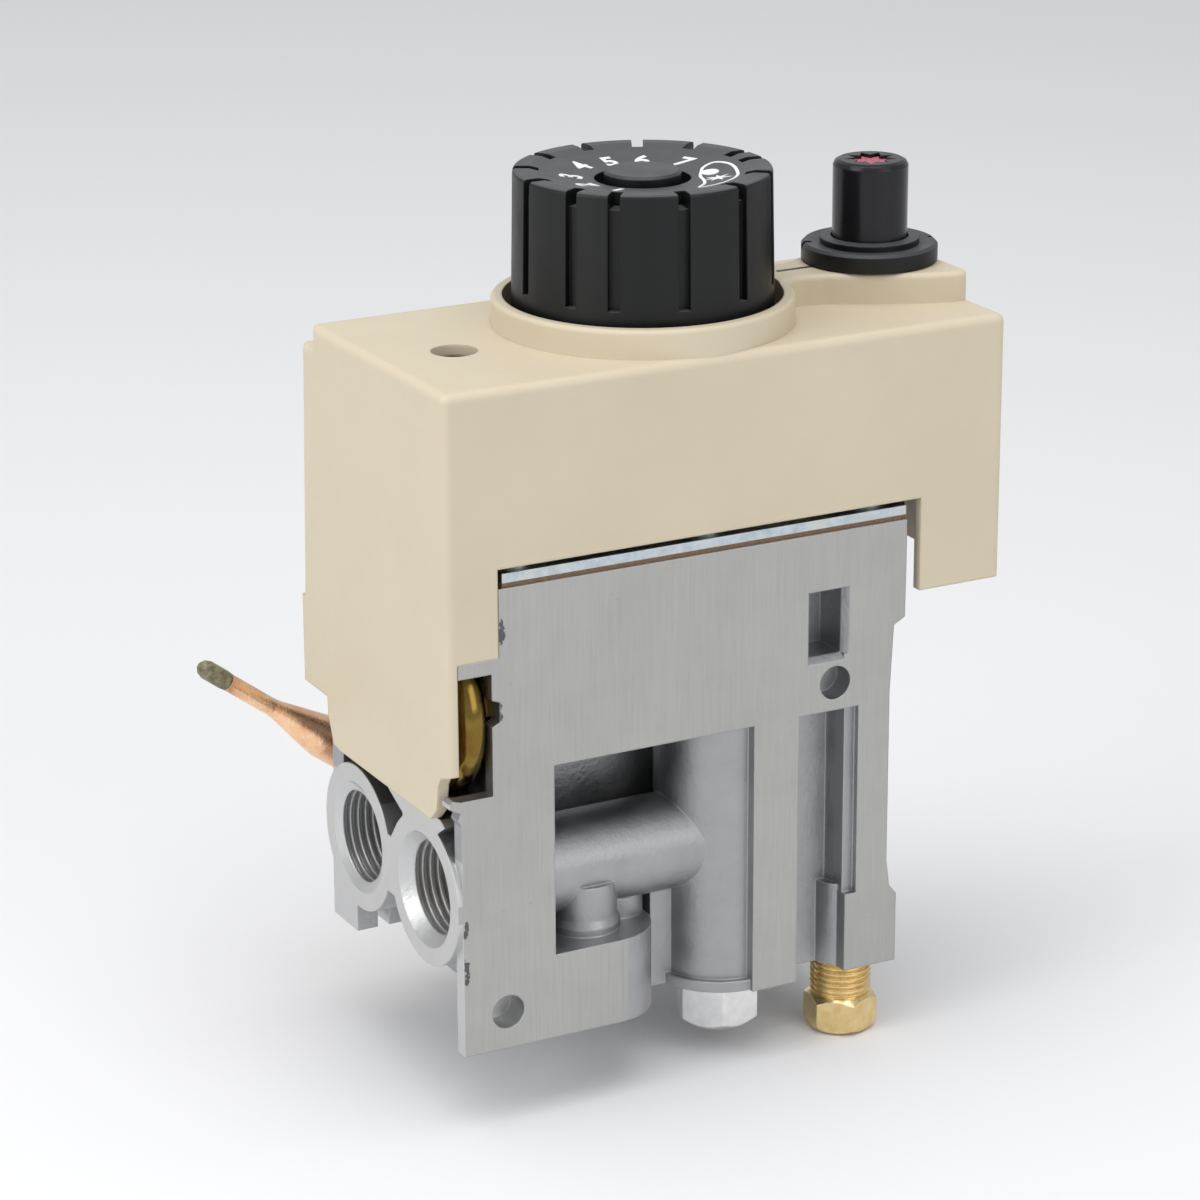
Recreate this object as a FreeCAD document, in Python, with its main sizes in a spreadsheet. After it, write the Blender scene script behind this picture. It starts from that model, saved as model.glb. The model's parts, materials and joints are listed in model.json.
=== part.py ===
import FreeCAD, Part
import math
import os
import re

import Sketcher

# Thermostatic gas valve: a die-cast body with two threaded ports side by side on its left
# face, a knob and a piezo igniter on top, and a plastic cover over the mechanism.
# The origin is midway between the two ports, on the face that they open in.
# +X goes from the ports into the valve, +Y to the back, +Z up. Lengths are in millimetres.

SIZES = {
    # casting
    "body_left": 7.5, "body_right": 79.2, "body_top": 51.2, "body_bottom": -23.7,
    "body_half": 24.3, "foot_right": 78.4, "waist_right": 76.5, "lower_left": 13.5,
    "skin_wall": 2.6, "face_left": 0.8, "shelf_top": 18.4, "notch_left": 6.2,
    "arm_bottom": 38.0, "arm_top": 40.3, "arm_tip": 0.6,
    "chamber_left": 15.5, "chamber_right": 58.5, "chamber_half": 15.0, "chamber_floor": 26.5,
    # ports
    "port_pitch": 24.4, "boss_outer": 12.1, "thread_major": 8.33, "thread_minor": 7.475,
    "thread_pitch": 1.337, "port_mouth": 9.25, "thread_depth": 13.0, "pipe_bore": 5.2,
    "inlet_lead": 2.0, "outlet_lead": 0.8,
    # front of the casting
    "pocket_left": 16.6, "pocket_right": 51.8, "pocket_top": 21.5, "pocket_floor": -9.8,
    "pocket_back": -3.0, "pipe_outer": 7.8, "toe_right": 28.3, "toe_round": 8.6,
    "recess_left": 59.9, "recess_right": 70.8, "recess_top": 21.6, "recess_back": -18.5,
    "window_left": 61.4, "window_right": 68.9, "window_low": 29.8, "window_high": 41.8,
    "window_bevel": 0.9,
    "window_depth": 7.5, "hole_across": 66.4, "hole_height": 26.2, "hole_radius": 2.75,
    "hole_depth": 4.0, "foot_hole_across": 8.3, "foot_hole_height": -17.6,
    # flame safety unit
    "safety_across": 52.3, "safety_along": -12.0, "tower_outer": 10.4, "safety_bore": 8.5,
    "seat_height": 12.0, "seat_bore": 5.0, "nut_bottom": -32.8, "nut_flats": 12.2,
    "rod_radius": 1.2, "arm_low": 33.0, "arm_thick": 3.0,
    # pilot outlet
    "pilot_across": 72.3, "pilot_along": -17.5, "pilot_major": 5.0, "pilot_pitch": 1.0,
    "pilot_pipe": 2.05, "pilot_hex_top": -30.2, "pilot_hex_bottom": -36.2,
    "pilot_socket_top": -14.0, "pilot_post": 4.3, "pilot_foot": 5.6,
    # top plate and its gasket
    "gasket_thick": 0.7, "plate_left": 8.3, "plate_thick": 1.5, "plate_half": 23.9,
    "screw_across_a": 12.4, "screw_across_b": 45.3, "screw_across_c": 74.5,
    "screw_along": 18.8, "screw_head": 3.1, "screw_shank": 1.9,
    # knob and spindle
    "knob_across": 45.3, "knob_base": 84.0, "knob_top": 106.5, "knob_low_radius": 20.5,
    "knob_high_radius": 20.1, "knob_wall": 2.4, "cap_radius": 6.0, "ring_radius": 7.5,
    "groove_half": 0.95, "groove_depth": 1.3, "notch_inner": 16.0, "notch_drop": 2.5,
    "spindle_radius": 3.0, "spindle_tip": 98.0, "spindle_foot": 36.3,
    # cover
    "cover_left": -1.3, "cover_right": 96.9, "cover_front": -24.3, "cover_rear": 28.4,
    "cover_top": 82.2, "cover_wall": 1.8, "top_rear": 22.4, "rail_top": 78.5,
    "skirt_front": 54.3, "skirt_rear": 35.5, "leg_left": 81.7, "leg_bottom": 39.0,
    "strip_right": 7.4, "strip_bottom": 40.3, "collar_inner": 21.9, "collar_outer": 23.7,
    "collar_top": 86.7, "access_across": 11.6, "access_along": -2.1, "access_radius": 3.6,
    # piezo igniter
    "piezo_across": 86.5, "pad_top": 87.0, "pad_half": 14.2, "flange_radius": 10.9,
    "flange_top": 90.1, "barrel_radius": 7.4, "button_radius": 6.0, "button_top": 103.4,
    # thermostat
    "capsule_along": -10.4, "capsule_height": 29.0, "capsule_radius": 13.6,
    "capsule_left": 1.5, "lever_across": 34.0, "lever_height": 42.0,
    "disc_across": 22.0, "disc_along": 8.0,
    # sensor bulb behind the casting, and its clip
    "bulb_along": 30.0, "bulb_radius": 3.55, "bulb_tail": 1.45, "bulb_tilt": 37.0,
    "clip_across": 18.5, "clip_height": -1.5, "clip_reach": 12.0,
    # screws that hold the cover to stands on the back of the casting
    "stand_across_a": 15.0, "stand_across_b": 74.0, "stand_height": 46.0,
}

PORT_TURNS = 8
PILOT_TURNS = 12
ALIAS = re.compile(r"\b[a-z]+(?:_[a-z]+)+\b")
UP, ALONG, ACROSS = FreeCAD.Vector(0, 0, 1), FreeCAD.Vector(0, 1, 0), FreeCAD.Vector(1, 0, 0)
TURN = {
    "Z": FreeCAD.Rotation(),
    "X": FreeCAD.Rotation(UP, ACROSS),
    "Y": FreeCAD.Rotation(UP, ALONG),
}
STANDS = ("stand_across_a", "stand_across_b")

doc = FreeCAD.newDocument("GasValve")
pieces = []


def make_sheet():
    sheet = doc.addObject("Spreadsheet::Sheet", "Sizes")
    for row, (alias, size) in enumerate(SIZES.items(), 1):
        sheet.set(f"A{row}", alias.replace("_", " "))
        sheet.set(f"B{row}", str(size))
        sheet.setAlias(f"B{row}", alias)
    doc.recompute()


def bind(thing, target, formula):
    """Bind a property to a formula in which words such as body_top are cells of the sheet."""
    thing.setExpression(target, ALIAS.sub(r"Sizes.\g<0>", str(formula)))


def place(thing, position, rotation=None):
    if rotation is not None:
        thing.Placement = FreeCAD.Placement(FreeCAD.Vector(), rotation)
    for letter, formula in zip("xyz", position):
        bind(thing, "Placement.Base." + letter, formula)


# ---- building blocks ---------------------------------------------------------------------

def box(name, x, y, z):
    """A block between a low and a high formula along each axis."""
    block = doc.addObject("Part::Box", name)
    for side, (low, high) in zip(("Length", "Width", "Height"), (x, y, z)):
        bind(block, side, f"({high}) - ({low})")
    place(block, (x[0], y[0], z[0]))
    return block


def rod(name, radius, start, length, axis="Z"):
    """A cylinder that starts at a point and runs along an axis."""
    bar = doc.addObject("Part::Cylinder", name)
    bind(bar, "Radius", radius)
    bind(bar, "Height", length)
    place(bar, start, TURN[axis])
    return bar


def hexagon(name, flats, start, height, turn=0):
    """A six-sided bar along Z, given its width across flats."""
    bar = doc.addObject("Part::Prism", name)
    bar.Polygon = 6
    bind(bar, "Circumradius", f"({flats}) / 2 / cos(30)")
    bind(bar, "Height", height)
    place(bar, start, FreeCAD.Rotation(UP, turn))
    return bar


def fuse(name, *shapes):
    joined = doc.addObject("Part::MultiFuse", name)
    joined.Shapes = list(shapes)
    joined.Refine = True
    return joined


def cut(name, base, *tools):
    result = doc.addObject("Part::Cut", name)
    result.Base = base
    result.Tool = tools[0] if len(tools) == 1 else fuse(name + "_tools", *tools)
    return result


def common(name, first, second):
    shared = doc.addObject("Part::Common", name)
    shared.Base, shared.Tool = first, second
    return shared


def outline(body, role, points):
    """A closed sketch of straight lines whose every corner is bound to the sheet."""
    sketch = body.newObject("Sketcher::SketchObject", "Outline")
    support = [plane for plane in body.Origin.OriginFeatures if plane.Role == role]
    sketch.AttachmentSupport = [(support[0], "")]
    sketch.MapMode = "FlatFace"
    count = len(points)
    start = [FreeCAD.Vector(math.cos(math.tau * i / count), math.sin(math.tau * i / count), 0)
             for i in range(count)]
    for i in range(count):
        sketch.addGeometry(Part.LineSegment(start[i], start[(i + 1) % count]), False)
    for i in range(count):
        sketch.addConstraint(Sketcher.Constraint("Coincident", i, 2, (i + 1) % count, 1))
        for kind, formula in zip(("DistanceX", "DistanceY"), points[i]):
            rule = sketch.addConstraint(Sketcher.Constraint(kind, -1, 1, i, 1, 1.0))
            bind(sketch, f"Constraints[{rule}]", formula)
    return sketch


def turned(name, profile, start=(0, 0, 0), axis="Z"):
    """A body revolved about an axis from (radius, distance along the axis) corners."""
    body = doc.addObject("PartDesign::Body", name)
    sketch = outline(body, "XZ_Plane", profile)
    spin = body.newObject("PartDesign::Revolution", "Spin")
    spin.Profile = sketch
    spin.ReferenceAxis = (sketch, ["V_Axis"])
    spin.Angle = 360
    place(body, start, TURN[axis])
    return body


def padded(name, role, points, low, high):
    """A body padded from an outline in the XY, XZ or YZ plane, between two levels."""
    body = doc.addObject("PartDesign::Body", name)
    pad = body.newObject("PartDesign::Pad", "Pad")
    pad.Profile = outline(body, role, points)
    pad.Reversed = role == "XZ_Plane"
    bind(pad, "Length", f"({high}) - ({low})")
    start = {"XY_Plane": (0, 0, low), "XZ_Plane": (0, low, 0), "YZ_Plane": (low, 0, 0)}
    place(body, start[role])
    return body


def rounded(name, base, radius, wanted):
    """Fillet the edges of a shape that a test picks out."""
    doc.recompute()
    picked = [i for i, edge in enumerate(base.Shape.Edges, 1) if wanted(edge)]
    fillet = doc.addObject("Part::Fillet", name)
    fillet.Base = base
    fillet.Edges = [(i, radius, radius) for i in picked]
    return fillet


def thread_rings(major, minor, pitch, low, turns):
    """Corners of a V thread drawn as rings with flat crests, going up from low."""
    corners = []
    for turn in range(turns):
        for radius, part in ((minor, 0), (minor, 0.3), (major, 0.6), (major, 0.7)):
            corners.append((radius, f"{low} + {pitch} * ({turn} + {part})"))
    corners.append((minor, f"{low} + {pitch} * {turns}"))
    return corners


def coil(name, radius, wire, low, high, turns, centre, axis="Z"):
    """A coil spring as a round wire swept along a helix."""
    helix = Part.makeLongHelix((high - low - wire) / turns, high - low - wire, radius)
    section = Part.Wire(Part.makeCircle(wire / 2, FreeCAD.Vector(radius, 0, 0), ALONG))
    spring = doc.addObject("Part::Feature", name)
    spring.Shape = Part.Wire(helix.Edges).makePipeShell([section], True, True)
    lift = TURN[axis].multVec(FreeCAD.Vector(0, 0, low + wire / 2))
    spring.Placement = FreeCAD.Placement(FreeCAD.Vector(*centre) + lift, TURN[axis])
    return spring


def piece(thing, node):
    """Name a finished sub-part and keep it for the files."""
    thing.Label = node
    pieces.append((node, thing))
    return thing


# ---- casting -----------------------------------------------------------------------------

def port_bore(name, along, lead):
    """The hollow of one port: chamfered mouth, thread rings, then a plain end."""
    rings = thread_rings("thread_major", "thread_minor", "thread_pitch", lead, PORT_TURNS)
    profile = [(0, -1), ("port_mouth", -1), ("port_mouth", 0), *rings,
               ("thread_minor", "thread_depth"), (0, "thread_depth")]
    return turned(name, profile, (0, along, 0), "X")


def casting_blank():
    """The solid metal before its front, rear and top are hollowed."""
    slab = padded("Slab", "XZ_Plane", [
        ("body_left", "body_top"), ("body_left", "pocket_top - 6"),
        ("lower_left", "pocket_top - 6"), ("lower_left", "body_bottom"),
        ("foot_right", "body_bottom"), ("foot_right", -12), ("foot_right - 1.3", -10.4),
        ("waist_right", -6), ("waist_right", 23), ("waist_right + 0.6", 34),
        ("body_right - 0.1", 35.1), ("body_right", 43.9), ("body_right", "body_top"),
    ], "-body_half", "body_half")
    front_skin = padded("FrontSkin", "XZ_Plane", [
        ("face_left", "body_bottom"), ("face_left", 14.4), (0.25, 15.4), (0.75, 16.6),
        (-0.2, 17), (-1.2, 17.6), (-1.1, 18.3), (-0.5, "shelf_top + 0.4"),
        ("face_left", "shelf_top"), ("notch_left", "shelf_top"), ("notch_left", 29.5),
        ("body_left", 30.1), ("body_left", 33.3), ("notch_left", 33.8),
        ("notch_left", "arm_bottom"), ("arm_tip", "arm_bottom"), ("arm_tip", "arm_top"),
        ("body_left", "arm_top"), ("lower_left + 2", "arm_top"),
        ("lower_left + 2", "body_bottom"),
    ], "-body_half", "-body_half + skin_wall")
    half_pitch = "port_pitch / 2"
    bosses = [rod(f"Boss{n}", "boss_outer", (0, f"{sign}{half_pitch}", 0), "lower_left + 1", "X")
              for n, sign in enumerate(("", "-"))]
    web = box("Web", (0, "lower_left"), (-4.5, 4.5), (-5.1, 4.6))
    arm = padded("WebArm", "YZ_Plane", [
        (-12, 3), (-17.35, 9), (-17.35, 11.07), (-19.9, 12.8), (-18.4, 13.7), (1.5, 13.7),
        (-0.3, 12.36), (-4.8, 10.3), (-5, 9.8), (-3.1, 8.1), (-0.4, 4.6),
    ], 0, "lower_left")
    post = box("RearPost", ("face_left", "lower_left"), (18.9, 22.9), (4, 30))
    tail = box("RearLeg", (1, "lower_left"), (15.4, "body_half"), ("-17.7", 0))
    foot_boss = rod("FootBoss", 4.5, ("foot_hole_across", "-body_half", "foot_hole_height"),
                    8, "Y")
    stands = [rod(f"CoverStand{n}", 3.6, (across, "body_half - 1", "stand_height"), 2.5, "Y")
              for n, across in enumerate(STANDS)]
    return fuse("Blank", slab, front_skin, *bosses, web, arm, post, tail, foot_boss, *stands)


def pilot_point(height):
    return ("pilot_across", "pilot_along", height)


def front_relief():
    """What is hollowed out of the front, less the bosses that stand in it."""
    pocket = box("Pocket", ("pocket_left", "pocket_right"), ("-body_half - 1", "pocket_back"),
                 ("pocket_floor", "pocket_top"))
    foot = box("PocketFoot", ("toe_right", "pocket_right"), ("-body_half - 1", "pocket_back"),
               ("body_bottom - 1", "pocket_floor + 1"))
    recess = box("Recess", ("recess_left", "recess_right"), ("-body_half - 1", "recess_back"),
                 ("body_bottom - 1", "recess_top"))
    tower = rod("SafetyTower", "tower_outer", ("safety_across", "safety_along", "body_bottom"),
                "pocket_top - body_bottom + 1")
    rim = rod("TowerRim", "tower_outer + 1", ("safety_across", "safety_along", "body_bottom"),
              1.8)
    pipe = rod("InletPipe", "pipe_outer", ("pocket_left - 2", "-port_pitch / 2", 0),
               "safety_across - pocket_left", "X")
    drip = turned("PipeBoss", [(0, 0), (5.8, 0), (5.8, 1.2), (5.3, 2.4), (5.3, 8),
                               (0, 8)], (26, -15.6, -9.8))
    rib = box("Rib", (38.5, 44), (-14.6, "pocket_back"), ("body_bottom", 2))
    toe = rod("Toe", "toe_round", ("toe_right", "toe_round - body_half + 0.05", "body_bottom"),
              "pocket_floor - body_bottom")
    toe_back = box("ToeBack", ("toe_right - 2", "toe_right + toe_round"),
                   ("toe_round - body_half", "pocket_back"), ("body_bottom", "pocket_floor"))
    toe_high = rod("ToeHigh", 4.6, (33, -12.5, "body_bottom"), "pocket_floor - body_bottom + 3.4")
    step = box("RecessStep", ("recess_right - 2", "recess_right + 0.1"),
               ("-body_half", "recess_back"), ("body_bottom", -10.4))
    pilot_post = rod("PilotPost", "pilot_post", ("pilot_across + 0.3", "pilot_along - 0.7", -9.5),
                     "recess_top + 10.5")
    pilot_foot = rod("PilotFoot", "pilot_foot", pilot_point("body_bottom"), "-9.5 - body_bottom")
    jamb = box("RecessJamb", ("recess_right - 1.9", "recess_right + 0.1"),
               ("-body_half + 1.2", "recess_back"), ("body_bottom", "recess_top + 1"))
    standing = fuse("Standing", tower, rim, pipe, drip, rib, toe, toe_back, toe_high, step, jamb,
                    pilot_post, pilot_foot)
    return cut("FrontRelief", fuse("FrontHollows", pocket, foot, recess), standing)


def rear_relief():
    """Weight-saving pockets in the back, with a rib and a boss round the outlet pipe."""
    deep = ("body_half - 9", "body_half + 1")
    left = box("RearPocketLeft", (20, 43), deep, (-19, 20))
    right = box("RearPocketRight", (48, 70), deep, (-19, 44))
    pipe = rod("OutletPipe", 9.6, (13, "port_pitch / 2", 0), 14, "X")
    corner = rod("RearBoss", 5, (66.5, 18, -19), 12)
    return cut("RearRelief", fuse("RearHollows", left, right), fuse("RearStanding", pipe, corner))


def gas_ways():
    """Chamber under the top plate and the bores that join it to the ports."""
    chamber = box("Chamber", ("chamber_left", "chamber_right"),
                  ("-chamber_half", "chamber_half"), ("chamber_floor", "body_top + 1"))
    inlet = rod("InletBore", "pipe_bore", ("thread_depth - 1", "-port_pitch / 2", 0),
                "safety_across - thread_depth + 1", "X")
    safety = turned("SafetyBore", [
        (0, "body_bottom - 1"), ("safety_bore", "body_bottom - 1"),
        ("safety_bore", "seat_height"), ("seat_bore", "seat_height"),
        ("seat_bore", "chamber_floor + 1"), (0, "chamber_floor + 1"),
    ], ("safety_across", "safety_along", 0))
    outlet = rod("OutletBore", "pipe_bore", ("thread_depth - 1", "port_pitch / 2", 0),
                 "disc_across - thread_depth + 1", "X")
    down = rod("OutletDrop", 3.6, ("disc_across", "disc_along", 0), "chamber_floor + 1")
    seat = rod("SeatPocket", 5.5, ("disc_across", "disc_along", "chamber_floor - 2.5"), 4)
    pilot = turned("PilotSocket", [
        (0, "body_bottom - 1"), ("pilot_major + 0.03", "body_bottom - 1"),
        ("pilot_major + 0.03", "pilot_socket_top"), (1.5, "pilot_socket_top + 2"),
        (1.5, 18), (0, 18),
    ], pilot_point(0))
    return [chamber, inlet, safety, outlet, down, seat, pilot,
            port_bore("InletThread", "-port_pitch / 2", "inlet_lead"),
            port_bore("OutletThread", "port_pitch / 2", "outlet_lead")]


def small_holes():
    """Holes for the screws and pins, and the blind holes of the front face."""
    holes = [rod(f"PlateScrewHole{n}", "screw_shank + 0.05", (*spot, "body_top - 10"), 12)
             for n, spot in enumerate(screw_spots())]
    holes.append(rod("AccessHole", 2.1, ("access_across", "access_along", "body_top - 9"), 12))
    holes.append(rod("PinHole", 1.6, ("body_left - 1", "capsule_along", "capsule_height"),
                     "chamber_left - body_left + 2", "X"))
    front = ("-body_half - 1", "window_depth - body_half")
    window_end, window_sill = "window_right - window_bevel", "window_low + window_bevel"
    holes.append(box("Window", ("window_left", window_end), front, (window_sill, "window_high")))
    holes.append(padded("WindowSill", "YZ_Plane", [
        ("-body_half - 1", "window_low - 1"), ("-body_half - 1", window_sill + " + 1"),
        ("-body_half + 1.4", window_sill + " + 1"), ("-body_half + 1.4", window_sill),
        ("-body_half", "window_low"),
    ], "window_left", window_end))
    holes.append(padded("WindowJamb", "XY_Plane", [
        (window_end + " - 1", "-body_half - 1"), ("window_right + 1", "-body_half - 1"),
        ("window_right", "-body_half"), (window_end, "-body_half + 1.4"),
        (window_end + " - 1", "-body_half + 1.4"),
    ], window_sill, "window_high"))
    for name, radius, across, height, depth in (
        ("FrontHole", "hole_radius", "hole_across", "hole_height", "hole_depth"),
        ("FootHole", "hole_radius", "foot_hole_across", "foot_hole_height", 4.5),
    ):
        holes.append(rod(name, radius, (across, "-body_half - 1", height), f"{depth} + 1", "Y"))
    holes.append(box("RearSlot", (4.6, 6.6), (14, "body_half + 1"), (-19, -13.5)))
    for n, across in enumerate(STANDS):
        holes.append(rod(f"CoverScrewHole{n}", 1.5, (across, "body_half - 3.1", "stand_height"),
                         6, "Y"))
    return holes


def clip_centre():
    return FreeCAD.Vector(cell("clip_across"), cell("bulb_along"), cell("clip_height"))


def clip_foot():
    """Where the clip's screw enters the back of the casting."""
    down = FreeCAD.Rotation(ALONG, cell("bulb_tilt")).multVec(UP) * -cell("clip_reach")
    return clip_centre() + down


def screw_spots():
    return [(across, f"{sign}screw_along")
            for across in ("screw_across_a", "screw_across_b", "screw_across_c")
            for sign in ("", "-")]


def valve_body():
    foot = clip_foot()
    clip_hole = rod("ClipScrewHole", 1.5, (foot.x, "body_half - 8", foot.z), 10, "Y")
    metal = cut("CutBody", casting_blank(), front_relief(), rear_relief(), *gas_ways(),
                *small_holes(), clip_hole)
    piece(metal, "valve_body")


# ---- top plate ---------------------------------------------------------------------------

def plate_layer(name, node, low, thick, inner):
    """A flat layer on the casting, with the screw holes and one larger opening."""
    sheet = box(name, ("plate_left", "body_right"), ("-plate_half", "plate_half"),
                (low, f"{low} + {thick}"))
    holes = [rod(f"{name}Screw{n}", "screw_shank + 0.2", (*spot, f"{low} - 1"), 5)
             for n, spot in enumerate(screw_spots())]
    holes.append(rod(name + "Access", 2.3, ("access_across", "access_along", f"{low} - 1"), 5))
    piece(cut("Cut" + name, sheet, *holes, inner), node)


def top_plate():
    opening = box("GasketOpening", ("chamber_left", "chamber_right"),
                  ("-chamber_half", "chamber_half"), ("body_top - 1", "body_top + 3"))
    plate_layer("Gasket", "top_plate_gasket", "body_top", "gasket_thick", opening)
    neck = rod("PlateNeck", 4.85, ("knob_across", 0, "body_top - 1"), 5)
    plate_layer("Plate", "top_plate", "body_top + gasket_thick", "plate_thick", neck)


def screw(name, head, head_height, shank, length, driver_depth):
    """A pan head screw standing on z = 0 with a cross recess in its head."""
    stem = turned(name, [
        (0, f"-{length}"), (f"{shank} - 0.4", f"-{length}"), (shank, f"0.4 - {length}"),
        (shank, 0), (head, 0), (head, f"{head_height} * 0.55"),
        (f"{head} * 0.8", f"{head_height} * 0.9"), (f"{head} * 0.45", head_height),
        (0, head_height),
    ])
    reach = f"{head} * 0.55"
    arms = [box(f"{name}Slot{n}", x, y, (f"{head_height} - {driver_depth}",
                                         f"{head_height} + 1"))
            for n, (x, y) in enumerate((((f"-{reach}", reach), (-0.35, 0.35)),
                                        ((-0.35, 0.35), (f"-{reach}", reach))))]
    return cut(name + "Driven", stem, *arms)


def copies(name, model, placements):
    """The same solid at several places, kept as separate solids in one node."""
    doc.recompute()
    group = doc.addObject("Part::Feature", name)
    solids = []
    for placement in placements:
        solid = model.Shape.copy()
        solid.Placement = placement
        solids.append(solid)
    group.Shape = Part.makeCompound(solids)
    return group


def cell(formula):
    """The number in a cell of the sheet, with an optional minus sign before its alias."""
    sheet = doc.getObject("Sizes")
    sign = -1 if formula.startswith("-") else 1
    return sign * sheet.get(formula.lstrip("-"))


def top_plate_screws():
    model = screw("PlateScrew", "screw_head", 2.4, "screw_shank", 9, 1.2)
    top = cell("body_top") + cell("gasket_thick") + cell("plate_thick")
    spots = [FreeCAD.Placement(FreeCAD.Vector(cell(x), cell(y), top),
                               FreeCAD.Rotation(UP, 17 * n))
             for n, (x, y) in enumerate(screw_spots())]
    piece(copies("PlateScrews", model, spots), "top_plate_screws")


def bypass_screw():
    """The slotted screw under the cover's access hole."""
    stem = turned("BypassStem", [
        (0, -11), (1.2, -10), (1.95, -9), (1.95, 0), (3, 0), (3, 3.2), (2.6, 3.6), (0, 3.6),
    ])
    slot = box("BypassSlot", (-4, 4), (-0.4, 0.4), (2.4, 5))
    done = cut("Bypass", stem, slot)
    place(done, ("access_across", "access_along",
                 "body_top + gasket_thick + plate_thick"))
    piece(done, "bypass_screw")


# ---- flame safety unit -------------------------------------------------------------------

def safety_point(height):
    return ("safety_across", "safety_along", height)


def safety_unit():
    """Fixed pieces of the unit that holds the gas open while the pilot burns."""
    floor = "body_bottom + 2.2"
    piece(turned("SafetyHousing", [
        (2.2, floor), (8.2, floor), (8.2, -7), (1.6, -7), (1.6, -8.2), (6.9, -8.2),
        (6.9, -19.8), (2.2, -19.8),
    ], safety_point(0)), "safety_housing")
    piece(turned("SafetyCore", [
        (0, -19.8), (6.7, -19.8), (6.7, -18.6), (2.6, -18.6), (2.6, -15), (0, -15),
    ], safety_point(0)), "magnet_core")
    piece(turned("SafetyCoil", [(2.7, -18.5), (6.2, -18.5), (6.2, -15.6), (2.7, -15.6)],
                 safety_point(0)), "magnet_coil")
    piece(turned("SafetyContact", [(0, -26), (1.4, -26), (1.4, -19.8), (0, -19.8)],
                 safety_point(0)), "magnet_contact")
    hexed = hexagon("NutHex", "nut_flats", safety_point("nut_bottom"),
                    "body_bottom - nut_bottom", 8)
    blank = turned("NutBlank", [
        (0, "nut_bottom"), ("nut_flats / 2 - 0.5", "nut_bottom"),
        ("nut_flats / 2 + 0.5", "nut_bottom + 0.9"),
        ("nut_flats / 2 + 1.2", "nut_bottom + 1.4"),
        ("nut_flats / 2 + 1.2", "body_bottom"), (0, "body_bottom"),
    ], safety_point(0))
    collar = rod("NutCollar", "safety_bore - 0.1", safety_point("body_bottom"), 2.2)
    socket = turned("NutSocket", [
        (0, "nut_bottom - 1"), (4.5, "nut_bottom - 1"), (4.5, "nut_bottom"),
        *thread_rings(4.5, 4.0, 1, "nut_bottom + 0.6", 6), (0, "nut_bottom + 6.6"),
    ], safety_point(0))
    bore = rod("NutBore", 2.0, safety_point("nut_bottom"), 14)
    piece(cut("SafetyNut", fuse("NutBody", common("NutShape", hexed, blank), collar),
              socket, bore), "safety_nut")


def safety_valve():
    """What the knob pushes down: disc, seal, rod and armature."""
    stem = turned("SafetyStem", [
        (0, -9.2), ("rod_radius", -9.2), ("rod_radius", 9.2), (7, 9.2), (7.2, 10.6), (0, 10.6),
    ], safety_point(0))
    piece(stem, "safety_disc")
    seal = turned("SafetySeal", [(2.4, 10.6), (7.1, 10.6), (7.1, "seat_height"),
                                 (2.4, "seat_height")], safety_point(0))
    piece(seal, "safety_seal")
    piece(turned("Armature", [(0, -10.4), (5, -10.4), (5, -9.2), (0, -9.2)],
                 safety_point(0)), "safety_armature")
    centre = (cell("safety_across"), cell("safety_along"), 0)
    piece(coil("SafetySpring", 4.6, 0.6, -6.9, 9.1, 6, centre), "safety_spring")


def pusher():
    """The arm that carries the knob's push across to the safety unit, and its rod."""
    hub = rod("PusherHub", 5, knob_point("arm_low"), 7)
    reach = "sqrt(pow(safety_across - knob_across; 2) + pow(safety_along; 2))"
    arm = box("PusherArm", (0, reach), (0, 5), ("arm_low", "arm_low + arm_thick"))
    angle = math.degrees(math.atan2(cell("safety_along"),
                                    cell("safety_across") - cell("knob_across")))
    place(arm, (f"knob_across + 2.5 * sin({angle:.3f})", f"-2.5 * cos({angle:.3f})", "arm_low"),
          FreeCAD.Rotation(UP, angle))
    end = rod("PusherEnd", 2.7, safety_point("arm_low"), "arm_thick")
    cup = rod("PusherCup", "spindle_radius + 0.15", knob_point("arm_low + arm_thick"), 5)
    eye = rod("PusherEye", 1.6, safety_point("arm_low - 1"), "arm_thick + 2")
    piece(cut("Pusher", fuse("PusherBody", hub, arm, end), cup, eye), "pusher_arm")
    piece(rod("PushRod", 1.6, safety_point(10.9), "arm_low + arm_thick - 10.9"), "push_rod")


# ---- pilot outlet and inlet filter --------------------------------------------------------

def pilot_outlet():
    spot = pilot_point(0)
    threaded = turned("PilotThread", [
        (0, "pilot_hex_top"),
        *thread_rings("pilot_major", "pilot_major - 0.54", "pilot_pitch",
                      "pilot_hex_top", PILOT_TURNS),
        (0, "pilot_hex_top + 12"),
    ], spot)
    hexed = hexagon("PilotHex", 10.4, pilot_point("pilot_hex_bottom"),
                    "pilot_hex_top - pilot_hex_bottom", 20)
    blank = turned("PilotBlank", [
        (0, "pilot_hex_bottom"), (4.9, "pilot_hex_bottom"), (5.6, "pilot_hex_bottom + 0.5"),
        (6.1, "pilot_hex_bottom + 1"), (6.1, "pilot_hex_top - 1.1"), (4.8, "pilot_hex_top"),
        (0, "pilot_hex_top"),
    ], spot)
    bore = rod("PilotBore", "pilot_pipe", pilot_point("pilot_hex_bottom - 1"), 22)
    whole = fuse("PilotNutBody", threaded, common("PilotNutHead", hexed, blank))
    piece(cut("PilotNut", whole, bore), "pilot_nut")
    olive = turned("Olive", [
        ("pilot_pipe + 0.3", -17.8), (3.2, -17.8), (3.7, -16.6), (3.2, -15.4),
        ("pilot_pipe + 0.3", -14.4),
    ], spot)
    piece(olive, "pilot_olive")


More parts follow.
